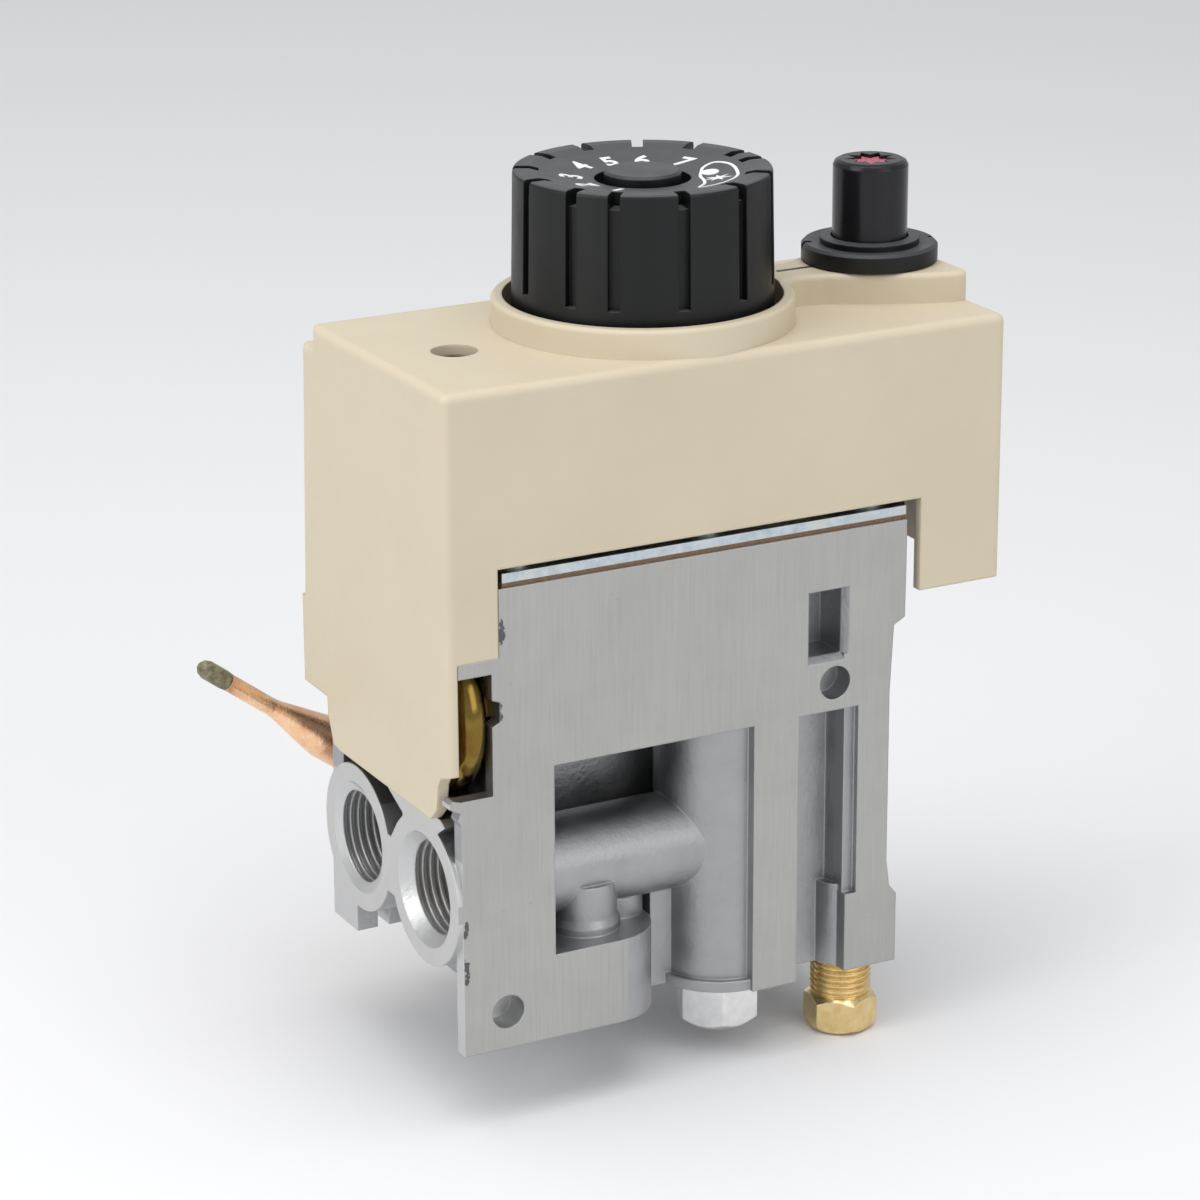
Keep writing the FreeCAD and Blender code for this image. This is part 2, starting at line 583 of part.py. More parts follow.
def inlet_filter():
    """A perforated cup pressed into the pipe behind the inlet's thread."""
    start = ("thread_depth + 0.6", "-port_pitch / 2", 0)
    cup = turned("FilterCup", [
        (0, 0), ("pipe_bore - 0.05", 0), ("pipe_bore - 0.05", 1.3), (4.8, 1.3), (4.8, 5),
        (4.2, 5), (4.2, 0.7), (0, 0.7),
    ], start, "X")
    mesh = []
    for ring, count in ((1.4, 6), (2.9, 12)):
        for n in range(count):
            angle = math.tau * n / count
            mesh.append(rod(f"Mesh{count}_{n}", 0.5, (
                "thread_depth - 1",
                f"{ring * math.cos(angle):.4f} - port_pitch / 2",
                f"{ring * math.sin(angle):.4f}"), 4, "X"))
    piece(cut("Filter", cup, *mesh), "inlet_filter")


# ---- knob --------------------------------------------------------------------------------

def knob_point(height=0):
    return ("knob_across", 0, height)


def spoke(name, angle, inner, half, low, high):
    """A block that runs outwards from a radius on the knob, at an angle round its axis."""
    block = box(name, (0, 6), (f"-{half}", half), (low, high))
    place(block, (f"knob_across + {inner} * cos({angle}) + {half} * sin({angle})",
                  f"{inner} * sin({angle}) - {half} * cos({angle})", low),
          FreeCAD.Rotation(UP, angle))
    return block


def knob():
    """The dished knob, with grooves down its side that notch the rim."""
    shell = turned("KnobShell", [
        ("knob_low_radius - knob_wall", "knob_base"), ("knob_low_radius", "knob_base"),
        ("knob_low_radius", "knob_base + 1"), ("knob_high_radius", "knob_top - 0.5"),
        ("knob_high_radius - 0.15", "knob_top - 0.15"), ("knob_high_radius - 0.5", "knob_top"),
        ("knob_high_radius - 2.6", "knob_top"), (15, "knob_top - 0.6"),
        (11, "knob_top - 1.3"), ("ring_radius", "knob_top - 1.7"),
        ("ring_radius", "knob_top - 3.6"), ("cap_radius + 0.05", "knob_top - 3.6"),
        ("cap_radius + 0.05", "knob_top - 5.6"), (4.2, "knob_top - 5.6"), (4.2, 92.4),
        ("spindle_radius + 0.05", 92.4), ("spindle_radius + 0.05", 86.4), (5.8, 86.4),
        (5.8, "knob_top - 8.5"), ("knob_high_radius - knob_wall", "knob_top - 6"),
    ], knob_point())
    angles = [6 + 29 * n for n in range(8)] + [229 + 30.5 * n for n in range(5)]
    slots = []
    for n, angle in enumerate(angles):
        slots.append(spoke(f"Groove{n}", angle, "(knob_low_radius - groove_depth)",
                           "groove_half", "knob_base + 4.6", "knob_top + 1"))
        slots.append(spoke(f"Notch{n}", angle, "notch_inner", "groove_half",
                           "knob_top - notch_drop", "knob_top + 1"))
    piece(cut("Knob", shell, *slots), "knob")
    cap = turned("KnobCap", [
        (0, "knob_top - 5.5"), ("cap_radius", "knob_top - 5.5"),
        ("cap_radius", "knob_top - 0.8"), ("cap_radius - 0.4", "knob_top - 0.4"),
        (0, "knob_top - 0.3"),
    ], knob_point())
    piece(cap, "knob_cap")


def spindle():
    bar = rod("SpindleBar", "spindle_radius", knob_point("spindle_foot"),
              "spindle_tip - spindle_foot")
    flat = box("SpindleFlat", ("knob_across + spindle_radius - 0.9",
                               "knob_across + spindle_radius + 1"), (-4, 4),
               (86, "spindle_tip + 1"))
    piece(cut("Spindle", bar, flat), "spindle")
    ring = turned("ClipRing", [("spindle_radius", 92.5), (4.1, 92.5), (4.1, 93.3),
                               ("spindle_radius", 93.3)], knob_point())
    gap = box("ClipGap", ("knob_across", "knob_across + 6"), (-1.6, 1.6), (92, 94))
    piece(cut("KnobClip", ring, gap), "knob_clip")
    bore = "spindle_radius + 0.02"
    disc = turned("StopDisc", [(bore, 66), (9.6, 66), (9.6, 67.6), (5, 67.6), (5, 71),
                               (bore, 71)], knob_point())
    lug = box("StopLug", ("knob_across + 8", "knob_across + 13.5"), (-1.6, 1.6), (66, 67.6))
    piece(fuse("StopBody", disc, lug), "stop_disc")


def spindle_seat():
    """The brass bush that guides the spindle through the plate, its ring and the spring."""
    bush = turned("Bush", [
        ("spindle_radius + 0.04", 47), (4.6, 47), (4.8, 47.6),
        (4.8, "body_top + gasket_thick + plate_thick"),
        (6.6, "body_top + gasket_thick + plate_thick"), (6.6, 55), (5.2, 55), (5.2, 58),
        ("spindle_radius + 0.04", 58), ("spindle_radius + 0.04", 55.8), (4.3, 55.8),
        (4.3, 54), ("spindle_radius + 0.04", 54),
    ], knob_point())
    piece(bush, "spindle_bush")
    ring = turned("Ring", [
        (f"3.65 + {0.62 * math.cos(math.tau * n / 12):.3f}",
         f"54.9 + {0.62 * math.sin(math.tau * n / 12):.3f}") for n in range(12)
    ], knob_point())
    piece(ring, "spindle_seal_ring")
    piece(coil("KnobSpring", 8, 0.9, 53.5, 65.9, 4, (cell("knob_across"), 0, 0)),
          "knob_spring")
    post = rod("StopPost", 1.6, ("knob_across + 14.3 * cos(15.5)", "-14.3 * sin(15.5)",
                                 "body_top + gasket_thick + plate_thick"), 15)
    piece(post, "stop_post")


# ---- cover -------------------------------------------------------------------------------

def cover_shell():
    """The outer form of the cover with softened edges, before it is hollowed."""
    top = [("cover_front", "cover_top"), ("top_rear", "cover_top"), ("top_rear", "rail_top"),
           ("cover_rear - 2", "rail_top")]
    main = padded("CoverMain", "YZ_Plane", [
        ("cover_front", "skirt_rear"), *top, ("cover_rear", "skirt_rear"),
    ], "cover_left", "cover_right")
    cheek = padded("CoverCheek", "YZ_Plane", [
        ("cover_front", 22.6), *top, ("cover_rear", "skirt_rear"), ("cover_rear", 21.8),
        (19.7, 21.7), (19.6, 18.9), (17.8, 14.3), (15.4, 13.9), (-17.8, 13.9), (-20, 16),
        (-20.7, 20.2), (-21.6, 21.7),
    ], "cover_left", "cover_left + cover_wall")
    spur = box("CoverSpur", ("cover_left", "strip_right"),
               ("cover_rear - cover_wall", "cover_rear"), (21.8, "skirt_rear + 1"))
    blank = fuse("CoverBlank", main, cheek, spur)
    left, right, front = cell("cover_left"), cell("cover_right"), cell("cover_front")

    def outer_edge(edge):
        bounds = edge.BoundBox
        if bounds.ZMin < 22 or edge.Length < 3:
            return False
        at_end = bounds.XLength < 0.01 and (abs(bounds.XMin - left) < 0.01
                                            or abs(bounds.XMin - right) < 0.01)
        low_rim = bounds.ZLength < 0.01 and bounds.ZMin < 60
        top_front = (bounds.XLength > 50 and abs(bounds.YMin - front) < 0.01
                     and bounds.ZMin > 60)
        return (at_end and not low_rim) or top_front

    return rounded("CoverSoft", blank, 1.4, outer_edge)


def piezo_pad():
    """The raised pad round the igniter, which narrows to a bridge at the collar."""
    side = [(62, -9.5), (70.5, -4.2), (75, -5.6), (88.5, -12.6), (94, "-pad_half"),
            ("cover_right - 0.4", "-pad_half")]
    mirror = [(x, y[1:] if isinstance(y, str) else -y) for x, y in reversed(side)]
    pad = padded("PiezoPad", "XY_Plane", side + mirror, "cover_top - 1.6", "pad_top")

    def upright(low, high):
        return lambda edge: (edge.BoundBox.ZLength > 1 and edge.BoundBox.XLength < 0.01
                             and low < edge.BoundBox.XMin < high)

    waist = rounded("PiezoPadWaist", pad, 4, upright(64, 95))
    corners = rounded("PiezoPadCorners", waist, 1.7, upright(96, 97))
    top = cell("pad_top")
    return rounded("PiezoPadSoft", corners, 0.9, lambda edge: (
        edge.BoundBox.ZMin > top - 0.01 and edge.BoundBox.XMin > 62.1))


def cover():
    inner = padded("CoverHollow", "YZ_Plane", [
        ("cover_front + cover_wall", 10), ("cover_front + cover_wall",
                                           "cover_top - cover_wall"),
        ("top_rear - cover_wall", "cover_top - cover_wall"),
        ("top_rear - cover_wall", "rail_top - cover_wall"),
        ("cover_rear - cover_wall - 2", "rail_top - cover_wall"),
        ("cover_rear - cover_wall", "skirt_rear"), ("cover_rear - cover_wall", 10),
    ], "cover_left + cover_wall", "cover_right - cover_wall")
    window = box("SkirtWindow", ("strip_right", "leg_left"), ("cover_front - 1", -15),
                 (10, "skirt_front"))
    strip = box("StripWindow", ("cover_left + cover_wall", "strip_right + 1"),
                ("cover_front - 1", -15), (10, "strip_bottom"))
    leg = box("LegEnd", ("leg_left - 1", "cover_right + 1"), ("cover_front - 1", 21),
              (10, "leg_bottom"))
    collar = rod("Collar", "collar_outer", knob_point("cover_top - 1"),
                 "collar_top - cover_top + 1")
    rim = cell("collar_top")
    collar = rounded("CollarSoft", collar, 0.7,
                     lambda edge: abs(edge.BoundBox.ZMin - rim) < 0.01)
    opening = rod("KnobOpening", "collar_inner", knob_point("cover_top - 4"), 12)
    barrel = rod("PiezoOpening", "barrel_radius + 0.05", ("piezo_across", 0,
                                                          "cover_top - 4"), 12)
    access = rod("AccessOpening", "access_radius", ("access_across", "access_along",
                                                    "cover_top - 4"), 6)
    screws = [rod(f"CoverHole{n}", 1.9, (across, "cover_rear - 4", "stand_height"), 6, "Y")
              for n, across in enumerate(STANDS)]
    hollow = cut("CoverOpen", cover_shell(), inner, window, strip, leg)
    solid = fuse("CoverWhole", hollow, collar, piezo_pad())
    piece(cut("Cover", solid, opening, barrel, access, *screws), "cover")


def cover_screws():
    model = screw("CoverScrew", 3, 2.1, 1.45, 6.4, 1.1)
    spots = [FreeCAD.Placement(FreeCAD.Vector(cell(across), cell("cover_rear") - 0.34,
                                              cell("stand_height")), TURN["Y"])
             for across in STANDS]
    piece(copies("CoverScrews", model, spots), "cover_screws")


# ---- piezo igniter -----------------------------------------------------------------------

def piezo_point(height=0):
    return ("piezo_across", 0, height)


def piezo():
    housing = turned("PiezoHousing", [
        (1.3, 46), (6.4, 46), (6.4, 59), ("barrel_radius", 59.8), ("barrel_radius", "pad_top"),
        ("flange_radius - 0.3", "pad_top"), ("flange_radius", "pad_top + 0.3"),
        ("flange_radius", "flange_top - 0.5"), ("flange_radius - 0.5", "flange_top"),
        ("flange_radius - 2.95", "flange_top - 0.3"), ("flange_radius - 2.95", "flange_top + 0.7"),
        ("button_radius + 0.2", "flange_top + 0.9"), ("button_radius + 0.2", 62),
        (5.3, 62), (5.3, 50.4), (1.3, 50.4),
    ], piezo_point())
    notches = [box(f"FlangeNotch{n}", ("piezo_across + 9.6 * " + cosine,
                                       "piezo_across + 9.6 * " + cosine + " + 2.6"),
                   (low, low + 0.9), ("flange_top - 1.2", "flange_top + 1"))
               for n, (cosine, low) in enumerate((("0.98", -3.2), ("(-0.98) - 1.6", 3.5)))]
    piece(cut("PiezoHousingCut", housing, *notches), "piezo_housing")
    piece(turned("PiezoNut", [
        ("barrel_radius + 0.04", 76.4), (8.4, 76.4), (8.4, 80.3), ("barrel_radius + 0.04", 80.3),
    ], piezo_point()), "piezo_nut")
    button = turned("PiezoButton", [
        (0, 79), (5.7, 79), ("button_radius", 79.3), ("button_radius", "button_top - 0.9"),
        ("button_radius - 0.3", "button_top - 0.3"), ("button_radius - 0.9", "button_top"),
        (0, "button_top"),
    ], piezo_point())
    star = padded("ButtonStar", "XY_Plane", star_points(9, 4.2, 2.5), "button_top - 1", "button_top + 1")
    bind(star, "Placement.Base.x", "piezo_across")
    piece(cut("PiezoButtonCut", button, star), "piezo_button")
    mark = padded("ButtonMark", "XY_Plane", star_points(9, 4.0, 2.3), "button_top - 1",
                  "button_top - 0.55")
    bind(mark, "Placement.Base.x", "piezo_across")
    piece(mark, "button_symbol")
    piece(rod("Hammer", 3, piezo_point(61), 7), "piezo_hammer")
    piece(rod("Anvil", 4.4, piezo_point(56.5), 1), "piezo_anvil")
    piece(rod("Crystal", 3.4, piezo_point(50.4), 6.1), "piezo_crystal")
    post = rod("TerminalPost", 1.25, piezo_point(45.2), 5.2)
    tab = box("TerminalTab", ("piezo_across - 1.4", "piezo_across + 1.4"), (-0.25, 0.25),
              (38.5, 45.6))
    eye = rod("TerminalEye", 0.6, ("piezo_across", -1, 40.2), 2, "Y")
    piece(cut("Terminal", fuse("TerminalBody", post, tab), eye), "piezo_terminal")
    centre = (cell("piezo_across"), 0, 0)
    piece(coil("ReturnSpring", 4.6, 0.5, 57.6, 78.9, 9, centre), "piezo_return_spring")
    piece(coil("HammerSpring", 2.2, 0.4, 68.1, 78.9, 7, centre), "piezo_hammer_spring")


def star_points(tips, outer, inner):
    """Corners of a star: tips and valleys by turns."""
    points = []
    for n in range(2 * tips):
        radius = inner if n % 2 else outer
        angle = math.pi * n / tips
        points.append((round(radius * math.cos(angle), 3), round(radius * math.sin(angle), 3)))
    return points


# ---- thermostat --------------------------------------------------------------------------

def capsule_start(across):
    return (across, "capsule_along", "capsule_height")


def thermostat():
    """Liquid-filled capsule on the casting's left face, and the pin that it pushes."""
    drum = turned("CapsuleDrum", [
        (0, 0), ("capsule_radius", 0), ("capsule_radius", 4.6), (0, 4.6),
    ], capsule_start("capsule_left"), "X")
    skin = rounded("CapsuleSkin", drum, 2.2, lambda edge: edge.Length > 40)
    hollow = turned("CapsuleHollow", [
        (0, 0.6), (11.4, 0.6), (12.6, 1.3), (12.9, 2.3), (12.5, 3.4), (11.3, 4), (11.3, 5),
        (0, 5),
    ], capsule_start("capsule_left"), "X")
    piece(cut("CapsuleCup", skin, hollow), "capsule_cup")
    back = turned("CapsuleBack", [
        (0, 4), (3, 4), (3.4, 4.5), (5, 4.5), (5.4, 4), (7, 4), (7.4, 4.5), (9, 4.5), (9.4, 4),
        (11.1, 4), (11.1, 4.7), (9.9, 4.7), (9.5, 5.2), (6.9, 5.2), (6.5, 4.7), (5.9, 4.7),
        (5.5, 5.2), (2.9, 5.2), (2.5, 4.7), (0, 4.7),
    ], capsule_start("capsule_left"), "X")
    piece(back, "capsule_diaphragm")
    seat = turned("CapsuleSeat", [(1.7, 5.3), (10.6, 5.3), (10.6, 6), (1.7, 6)],
                  capsule_start("capsule_left"), "X")
    piece(seat, "capsule_washer")
    piece(rod("Pin", 1.5, capsule_start("capsule_left + 5.4"), "lever_across - 10"
              " + 1.5", "X"), "capsule_pin")


def thermostat_lever():
    """Bell crank that turns the pin's push into the valve disc's drop."""
    hub = rod("LeverHub", 2.6, ("lever_across", -12.9, "lever_height"), 24.3, "Y")
    low = box("LeverDown", ("lever_across - 1.4", "lever_across + 1.4"), (-12.9, -7.9),
              (27.6, "lever_height"))
    flat = box("LeverFlat", ("lever_across - 14", "lever_across"),
               ("disc_along - 2.5", "disc_along + 2.5"),
               ("lever_height - 1.2", "lever_height + 1.2"))
    bore = rod("LeverBore", 1.55, ("lever_across", -14, "lever_height"), 28, "Y")
    piece(cut("Lever", fuse("LeverBody", hub, low, flat), bore), "thermostat_lever")
    base = box("BracketBase", ("lever_across - 5", "lever_across + 4.6"), (-14.3, 12.8),
               ("body_top + gasket_thick - 1.5", "body_top + gasket_thick"))
    ears = [box(f"BracketEar{n}", ("lever_across - 3", "lever_across + 3"), (y, y + 1.2),
                ("lever_height - 3", "body_top + gasket_thick - 1"))
            for n, y in enumerate((-14.3, 11.6))]
    hole = rod("BracketHole", 1.5, ("lever_across", -15, "lever_height"), 30, "Y")
    piece(cut("Bracket", fuse("BracketBody", base, *ears), hole), "lever_bracket")
    piece(rod("LeverPin", 1.5, ("lever_across", -14.7, "lever_height"), 28, "Y"), "lever_pin")
    piece(coil("LeverSpring", 3.3, 0.5, -5, 4.6, 9, (cell("lever_across"), 0,
                                                     cell("lever_height")), "Y"),
          "lever_spring")


def main_valve():
    spot = ("disc_across", "disc_along", 0)
    piece(turned("ValveSeat", [
        (3.5, "chamber_floor - 2.5"), (5.45, "chamber_floor - 2.5"),
        (5.45, "chamber_floor + 0.2"), (4.3, "chamber_floor + 0.8"),
        (3.5, "chamber_floor + 0.8"),
    ], spot), "main_valve_seat")
    piece(turned("ValveDisc", [
        (0, 29.9), (5.8, 29.9), (5.8, 31.2), (1.9, 31.2), (1.5, 31.8), (1.5, 40),
        (1.1, 40.4), (0, 40.4),
    ], spot), "main_valve_disc")
    piece(turned("ValveSeal", [(0, 29.1), (5.7, 29.1), (5.7, 29.9), (0, 29.9)], spot),
          "main_valve_seal")


# ---- sensor bulb -------------------------------------------------------------------------

def sensor_bulb():
    """The copper bulb, drawn down to a tail at one end, held to the back by a clip."""
    tilt = cell("bulb_tilt")
    lie = FreeCAD.Rotation(ALONG, 90 + tilt)
    start = (-17.4, "bulb_along", 25.6)
    bulb = turned("Bulb", [
        (0, 0), ("bulb_tail", 0), ("bulb_tail", 13.5), ("bulb_tail + 0.15", 14.6),
        ("bulb_radius - 0.15", 23.2), ("bulb_radius", 24.2), ("bulb_radius", 69),
        ("bulb_radius - 1", 70), (1.4, 71), (0.85, 72), (0, 72),
    ], start)
    place(bulb, start, lie)
    piece(bulb, "sensor_bulb")
    blob = turned("BulbSeal", [
        (0, -1.9), (0.7, -1.75), (1.25, -1.2), ("bulb_tail + 0.12", -0.2),
        ("bulb_tail + 0.12", 3.2), ("bulb_tail + 0.01", 4.1), ("bulb_tail + 0.01", 0), (0, 0),
    ], start)
    place(blob, start, lie)
    piece(blob, "bulb_seal")


def bulb_clip():
    """A sheet steel clip that wraps the bulb, with a tongue screwed to the casting."""
    tilt = cell("bulb_tilt")
    lie = FreeCAD.Rotation(ALONG, tilt)
    centre, foot = clip_centre(), clip_foot()
    loose = "bulb_radius + 0.06"
    ring = turned("ClipRound", [(loose, -3.5), ("bulb_radius + 0.9", -3.5),
                                ("bulb_radius + 0.9", 3.5), (loose, 3.5)])
    across = FreeCAD.Rotation(ALONG, 90 + tilt)
    place(ring, ("clip_across", "bulb_along", "clip_height"), across)
    low = -cell("clip_reach") - 3.5
    corner = centre + lie.multVec(FreeCAD.Vector(-3.5, 0, low))
    tongue = box("ClipTongue", (0, 7), ("body_half", "bulb_along - bulb_radius - 0.3"),
                 (0, "clip_reach + 3.5"))
    place(tongue, (corner.x, "body_half", corner.z), lie)
    hole = rod("ClipHole", 1.7, (foot.x, "body_half - 1", foot.z), 5, "Y")
    piece(cut("Clip", fuse("ClipBody", ring, tongue), hole), "bulb_clip")
    model = screw("ClipScrew", 3, 2.1, 1.45, 7, 1.1)
    head = FreeCAD.Vector(foot.x, cell("bulb_along") - cell("bulb_radius") - 0.3, foot.z)
    piece(copies("ClipScrews", model, [FreeCAD.Placement(head, TURN["Y"])]), "bulb_clip_screw")


# ---- build and write ---------------------------------------------------------------------

def build():
    valve_body()
    top_plate()
    top_plate_screws()
    bypass_screw()
    safety_unit()
    safety_valve()
    pusher()
    pilot_outlet()
    inlet_filter()
    knob()
    spindle()
    spindle_seat()
    cover()
    cover_screws()
    piezo()
    thermostat()
    thermostat_lever()
    main_valve()
    sensor_bulb()
    bulb_clip()
    doc.recompute()


def check_and_write():
    for thing in doc.Objects:
        if "Invalid" in thing.State or "Error" in thing.State:
            raise RuntimeError(f"{thing.Name} ({thing.Label}) failed: {thing.State}")
    os.makedirs("parts", exist_ok=True)
    for node, thing in pieces:
        shape = thing.Shape
        if shape.isNull() or not shape.isValid() or not shape.Solids:
            raise RuntimeError(f"{node} has no valid solid")
        bounds = shape.BoundBox
        print(f"{node}: {len(shape.Solids)} solids, {shape.Volume:.0f} mm3, "
              f"x {bounds.XMin:.1f} {bounds.XMax:.1f} y {bounds.YMin:.1f} {bounds.YMax:.1f} "
              f"z {bounds.ZMin:.1f} {bounds.ZMax:.1f}")
        shape.exportStep(f"parts/{node}.step")


make_sheet()
build()
check_and_write()
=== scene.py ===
import json
import math

import bmesh
import bpy
from mathutils import Matrix, Vector


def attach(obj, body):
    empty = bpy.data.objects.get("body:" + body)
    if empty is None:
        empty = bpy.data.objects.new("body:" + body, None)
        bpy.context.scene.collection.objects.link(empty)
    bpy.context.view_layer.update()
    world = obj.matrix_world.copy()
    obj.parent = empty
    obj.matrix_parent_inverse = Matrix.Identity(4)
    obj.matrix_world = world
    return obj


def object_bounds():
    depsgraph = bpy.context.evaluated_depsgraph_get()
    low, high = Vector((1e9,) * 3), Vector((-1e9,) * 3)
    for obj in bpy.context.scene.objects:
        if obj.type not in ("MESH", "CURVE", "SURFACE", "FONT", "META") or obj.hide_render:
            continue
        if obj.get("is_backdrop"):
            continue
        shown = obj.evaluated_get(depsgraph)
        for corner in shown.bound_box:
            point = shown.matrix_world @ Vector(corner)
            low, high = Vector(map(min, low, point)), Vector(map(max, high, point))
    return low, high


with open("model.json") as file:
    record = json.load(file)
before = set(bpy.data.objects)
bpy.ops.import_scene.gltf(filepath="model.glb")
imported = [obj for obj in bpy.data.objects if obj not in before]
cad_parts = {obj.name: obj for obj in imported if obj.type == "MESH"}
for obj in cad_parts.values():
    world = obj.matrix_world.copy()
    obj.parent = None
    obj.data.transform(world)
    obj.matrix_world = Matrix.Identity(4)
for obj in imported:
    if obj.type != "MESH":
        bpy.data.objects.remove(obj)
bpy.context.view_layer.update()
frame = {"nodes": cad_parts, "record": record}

# Looks of the gas valve: a material for every part, the printed marks and the room round it.
# Lengths are in metres, except where a name ends in _mm.

nodes = frame["nodes"]
MM = 0.001

KNOB_AXIS = Vector((45.3, 0, 0)) * MM
KNOB_TOP_MM = 106.5
PAD_TOP_MM = 87.0
FRONT_FACE_MM = -24.2
PORT_FACE_MM = 0.06
SQUARE_ON = -0.9

CAMERA_PLACE_MM = (-242.69, -527.71, 240.95)
CAMERA_RIGHT = (0.88497, -0.46561, -0.00656)
CAMERA_UP = (0.14993, 0.27158, 0.95067)
CAMERA_FORWARD = (0.44086, 0.84229, -0.31015)
FLOOR_HALF_WIDTH = 3.0
FLOOR_GAP = 0.0002


# Middle (x, z) and half sizes of the chipped places on the left edge of the front face.
CHIPS_MM = (((7.9, 44.3), (0.7, 2.3)), ((7.3, 32.0), (0.9, 1.6)),
            ((1.2, -2.6), (0.5, 1.7)), ((1.3, -10.0), (0.55, 3.0)))


# ---- materials ---------------------------------------------------------------------------

class Shader:
    """A principled material, with short calls for the nodes that feed it."""

    def __init__(self, name, colour, roughness, metallic=0.0, **settings):
        self.material = bpy.data.materials.new(name)
        self.material.use_nodes = True
        self.tree = self.material.node_tree
        self.surface = self.tree.nodes["Principled BSDF"]
        self.set("Base Color", (*colour, 1))
        self.set("Roughness", roughness)
        self.set("Metallic", metallic)
        for socket, value in settings.items():
            self.set(socket.replace("_", " "), value)
        self.place_mm = self.node("ShaderNodeVectorMath", operation="SCALE")
        self.place_mm.inputs["Scale"].default_value = 1000
        where = self.node("ShaderNodeTexCoord")
        self.link(where.outputs["Object"], self.place_mm.inputs[0])

    def node(self, kind, **settings):
        made = self.tree.nodes.new(kind)
        for name, value in settings.items():
            setattr(made, name, value)
        return made

    def link(self, source, target):
        self.tree.links.new(source, target)

    def set(self, socket, value):
        self.surface.inputs[socket].default_value = value

    def feed(self, socket, source):
        self.link(source, self.surface.inputs[socket])

    def stretched(self, scale):
        """Place in millimetres, multiplied by a scale along each axis."""
        made = self.node("ShaderNodeVectorMath", operation="MULTIPLY")
        self.link(self.place_mm.outputs[0], made.inputs[0])
        made.inputs[1].default_value = scale
        return made.outputs[0]

    def noise(self, scale=(1, 1, 1), detail=3.0, roughness=0.55, distortion=0.0):
        made = self.node("ShaderNodeTexNoise")
        made.inputs["Scale"].default_value = 1
        made.inputs["Detail"].default_value = detail
        made.inputs["Roughness"].default_value = roughness
        made.inputs["Distortion"].default_value = distortion
        self.link(self.stretched(scale), made.inputs["Vector"])
        return made.outputs["Fac"]

    def fit(self, source, low, high, to_low, to_high):
        """A number that goes from to_low to to_high as the source goes from low to high."""
        made = self.node("ShaderNodeMapRange")
        made.inputs["From Min"].default_value = low
        made.inputs["From Max"].default_value = high
        made.inputs["To Min"].default_value = to_low
        made.inputs["To Max"].default_value = to_high
        self.link(source, made.inputs["Value"])
        return made.outputs["Result"]

    def maths(self, operation, first, second):
        made = self.node("ShaderNodeMath", operation=operation)
        for socket, value in zip(made.inputs, (first, second)):
            if isinstance(value, (int, float)):
                socket.default_value = value
            else:
                self.link(value, socket)
        return made.outputs[0]

    def mix(self, factor, first, second):
        """A colour between two colours."""
        made = self.node("ShaderNodeMix", data_type="RGBA")
        self.link(factor, made.inputs["Factor"])
        ends = [socket for socket in made.inputs if socket.type == "RGBA"]
        for socket, value in zip(ends, (first, second)):
            if isinstance(value, tuple):
                socket.default_value = (*value, 1)
            else:
                self.link(value, socket)
        return [socket for socket in made.outputs if socket.type == "RGBA"][0]

    def axes(self):
        """The three coordinates in millimetres."""
        made = self.node("ShaderNodeSeparateXYZ")
        self.link(self.place_mm.outputs[0], made.inputs[0])
        return made.outputs

    def facing(self):
        """The three parts of the surface normal."""
        made = self.node("ShaderNodeSeparateXYZ")
        self.link(self.node("ShaderNodeNewGeometry").outputs["Normal"], made.inputs[0])
        return made.outputs

    def patch(self, across, height, centre, half, ragged):
        """One inside a ragged oval on the XZ plane, given its middle and half sizes in mm."""
        spread = self.maths("POWER", self.maths("DIVIDE", self.maths(
            "SUBTRACT", across, centre[0]), half[0]), 2)
        rise = self.maths("POWER", self.maths("DIVIDE", self.maths(
            "SUBTRACT", height, centre[1]), half[1]), 2)
        reach = self.maths("ADD", self.maths("ADD", spread, rise),
                           self.fit(ragged, 0.3, 0.7, -1.1, 1.6))
        return self.maths("LESS_THAN", reach, 0.8)

    def edges(self, radius_mm, most):
        """Grows along sharp edges, where the rounded normal leaves the flat one; the mask of a
        painted highlight.
        """
        soft = self.node("ShaderNodeBevel", samples=4)
        soft.inputs["Radius"].default_value = radius_mm * MM
        agree = self.node("ShaderNodeVectorMath", operation="DOT_PRODUCT")
        self.link(soft.outputs[0], agree.inputs[0])
        self.link(self.node("ShaderNodeNewGeometry").outputs["Normal"], agree.inputs[1])
        return self.fit(agree.outputs["Value"], 0.99, 0.88, 0, most)

    def relief(self, height, depth_mm, strength=1.0, edge_mm=0.0):
        """Bump from a height, over edges rounded by a small radius."""
        bump = self.node("ShaderNodeBump")
        bump.inputs["Strength"].default_value = strength
        bump.inputs["Distance"].default_value = depth_mm * MM
        self.link(height, bump.inputs["Height"])
        if edge_mm:
            soft = self.node("ShaderNodeBevel", samples=4)
            soft.inputs["Radius"].default_value = edge_mm * MM
            self.link(soft.outputs[0], bump.inputs["Normal"])
        self.feed("Normal", bump.outputs[0])


